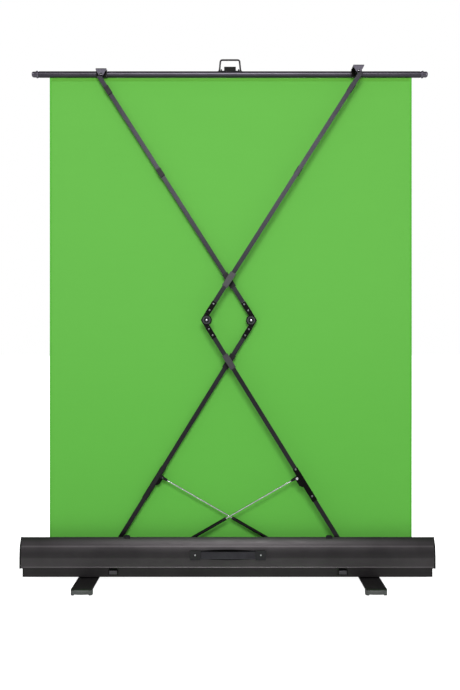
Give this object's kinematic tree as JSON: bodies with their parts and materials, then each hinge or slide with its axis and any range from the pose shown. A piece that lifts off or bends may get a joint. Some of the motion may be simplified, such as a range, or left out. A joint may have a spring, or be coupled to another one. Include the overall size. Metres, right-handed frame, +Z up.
{
  "type": "collapsible backdrop panel",
  "caption": "Pull-up green fabric backdrop on crossing hinged arms with gas struts, rising from a long floor case with swivel feet.",
  "frame": {"origin": "on the floor under the middle of the case", "axes": "+Z up, +Y out of the fabric's front, +X to the right seen from the frame side"},
  "size_m": [1.6556, 0.416, 2.1209],
  "materials": {
    "case_metal": "satin anodised black-grey",
    "arm_metal": "satin anodised dark grey",
    "black_plastic": "matte",
    "black_steel": "satin black",
    "bright_steel": "brushed",
    "rod_steel": "polished",
    "rubber": "matte",
    "green_fabric": "matte, evenly dyed"
  },
  "bodies": {
    "case": {"base_tray": "case_metal", "rear_cover": "case_metal", "front_cover": "case_metal", "end_cap_left": "black_plastic", "end_cap_right": "black_plastic", "latch_keeper_left": "black_steel", "latch_keeper_right": "black_steel", "handle_end_left": "black_plastic", "handle_end_right": "black_plastic", "handle_grip": "black_plastic", "roller_bearing_left": "black_plastic", "roller_bearing_right": "black_plastic", "outer_strut_bracket": "black_steel", "inner_strut_bracket": "black_steel", "outer_base_bracket": "black_steel", "inner_base_bracket": "black_steel", "ridge_bumper_left": "rubber", "ridge_bumper_right": "rubber", "foot_pivot_left": "bright_steel", "foot_pivot_right": "bright_steel", "fabric_sheet": "green_fabric"},
    "foot_left": {"foot_left": "case_metal"},
    "foot_right": {"foot_right": "case_metal"},
    "latch_left": {"latch_tab_left": "arm_metal"},
    "latch_right": {"latch_tab_right": "arm_metal"},
    "roller": {"roller_tube": "case_metal"},
    "outer_lower": {"outer_lower_arm": "arm_metal", "outer_lower_knuckle": "black_plastic", "outer_strut_channel": "black_steel", "outer_strut_bolt": "bright_steel"},
    "outer_upper": {"outer_upper_arm": "arm_metal", "outer_upper_knuckle": "black_plastic", "outer_elbow_pin": "bright_steel", "outer_low_clip": "black_plastic", "outer_high_clip": "black_plastic"},
    "inner_lower": {"inner_lower_arm": "arm_metal", "inner_lower_knuckle": "black_plastic", "inner_strut_channel": "black_steel"},
    "inner_upper": {"inner_upper_arm": "arm_metal", "inner_upper_knuckle": "black_plastic", "inner_elbow_pin": "bright_steel", "inner_low_clip": "black_plastic", "inner_high_clip": "black_plastic"},
    "top_bar": {"top_bar_tube": "case_metal", "bar_end_left": "black_plastic", "bar_end_right": "black_plastic", "bar_bracket_left": "black_steel", "bar_bracket_right": "black_steel", "bracket_pin_left": "bright_steel", "bracket_pin_right": "bright_steel", "bail_plate": "black_steel"},
    "bail": {"bail_wire": "black_steel"},
    "outer_lower_guide": {"outer_lower_sleeve": "black_plastic"},
    "outer_upper_guide": {"outer_upper_sleeve": "black_plastic"},
    "outer_cylinder": {"outer_strut_cylinder": "black_steel"},
    "outer_rod": {"outer_strut_rod": "rod_steel"},
    "inner_lower_guide": {"inner_lower_sleeve": "black_plastic"},
    "inner_upper_guide": {"inner_upper_sleeve": "black_plastic"},
    "inner_cylinder": {"inner_strut_cylinder": "black_steel"},
    "inner_rod": {"inner_strut_rod": "rod_steel"}
  },
  "joints": [
    {"name": "outer_fold", "type": "hinge", "parent": "case", "child": "outer_lower", "pos_m": [0.527, -0.029, 0.047], "axis": [0, -1, 0], "range_deg": [0, 57.31], "deforming": ["fabric_sheet"]},
    {"name": "outer_elbow", "type": "hinge", "parent": "outer_lower", "child": "outer_upper", "pos_m": [-0.084, -0.029, 1.0485], "axis": [0, 1, 0], "range_deg": [0, 114.62]},
    {"name": "bar_pivot", "type": "hinge", "parent": "outer_upper", "child": "top_bar", "pos_m": [0.527, -0.029, 2.05], "axis": [0, -1, 0], "range_deg": [0, 57.31]},
    {"name": "inner_fold", "type": "hinge", "parent": "case", "child": "inner_lower", "pos_m": [-0.515, 0.009, 0.047], "axis": [0, 1, 0], "range_deg": [0, 57.31]},
    {"name": "inner_elbow", "type": "hinge", "parent": "inner_lower", "child": "inner_upper", "pos_m": [0.096, 0.009, 1.0485], "axis": [0, -1, 0], "range_deg": [0, 114.62]},
    {"name": "outer_lower_slide", "type": "slide", "parent": "outer_lower", "child": "outer_lower_guide", "axis": [-0.5255, 0, 0.8508], "range_m": [-0.46229, 0]},
    {"name": "outer_upper_slide", "type": "slide", "parent": "outer_upper", "child": "outer_upper_guide", "axis": [0.5371, 0, 0.8435], "range_m": [0, 0.46628]},
    {"name": "outer_strut_tilt", "type": "hinge", "parent": "case", "child": "outer_cylinder", "pos_m": [-0.329, -0.0166, 0.061], "axis": [0, 1, 0], "range_deg": [0, 33.54]},
    {"name": "outer_strut_stroke", "type": "slide", "parent": "outer_cylinder", "child": "outer_rod", "axis": [0.8666, 0, 0.499], "range_m": [-0.28504, 0]},
    {"name": "inner_lower_slide", "type": "slide", "parent": "inner_lower", "child": "inner_lower_guide", "axis": [0.5255, 0, 0.8508], "range_m": [-0.46229, 0]},
    {"name": "inner_upper_slide", "type": "slide", "parent": "inner_upper", "child": "inner_upper_guide", "axis": [-0.5371, 0, 0.8435], "range_m": [0, 0.46628]},
    {"name": "inner_strut_tilt", "type": "hinge", "parent": "case", "child": "inner_cylinder", "pos_m": [0.341, -0.0034, 0.061], "axis": [0, -1, 0], "range_deg": [0, 33.54]},
    {"name": "inner_strut_stroke", "type": "slide", "parent": "inner_cylinder", "child": "inner_rod", "axis": [-0.8666, 0, 0.499], "range_m": [-0.28504, 0]},
    {"name": "foot_left_turn", "type": "hinge", "parent": "case", "child": "foot_left", "pos_m": [-0.553, 0, 0.011], "axis": [0, 0, 1], "range_deg": [0, 90]},
    {"name": "foot_right_turn", "type": "hinge", "parent": "case", "child": "foot_right", "pos_m": [0.565, 0, 0.011], "axis": [0, 0, -1], "range_deg": [0, 90]},
    {"name": "latch_left_swing", "type": "hinge", "parent": "case", "child": "latch_left", "pos_m": [-0.454, -0.0677, 0.0384], "axis": [1, 0, 0], "range_deg": [0, 80]},
    {"name": "latch_right_swing", "type": "hinge", "parent": "case", "child": "latch_right", "pos_m": [0.458, -0.0677, 0.0385], "axis": [1, 0, 0], "range_deg": [0, 80]},
    {"name": "roller_spin", "type": "hinge", "parent": "case", "child": "roller", "pos_m": [0.014, 0.0484, 0.05], "axis": [1, 0, 0], "continuous": true},
    {"name": "bail_swing", "type": "hinge", "parent": "top_bar", "child": "bail", "pos_m": [0.01, 0.028, 2.0744], "axis": [1, 0, 0], "range_deg": [0, 85]}
  ],
  "couplings": [
    {"joint": "outer_elbow", "follows": "outer_fold", "ratio": 2},
    {"joint": "bar_pivot", "follows": "outer_fold", "ratio": 1},
    {"joint": "inner_fold", "follows": "outer_fold", "ratio": 1},
    {"joint": "inner_elbow", "follows": "outer_fold", "ratio": 2},
    {"joint": "outer_lower_slide", "follows": "outer_fold", "m_per_rad": -0.46217},
    {"joint": "outer_upper_slide", "follows": "outer_fold", "m_per_rad": 0.46616},
    {"joint": "outer_strut_tilt", "follows": "outer_fold", "ratio": 0.58531},
    {"joint": "outer_strut_stroke", "follows": "outer_fold", "m_per_rad": -0.28497},
    {"joint": "inner_lower_slide", "follows": "outer_fold", "m_per_rad": -0.46217},
    {"joint": "inner_upper_slide", "follows": "outer_fold", "m_per_rad": 0.46616},
    {"joint": "inner_strut_tilt", "follows": "outer_fold", "ratio": 0.58531},
    {"joint": "inner_strut_stroke", "follows": "outer_fold", "m_per_rad": -0.28497}
  ]
}
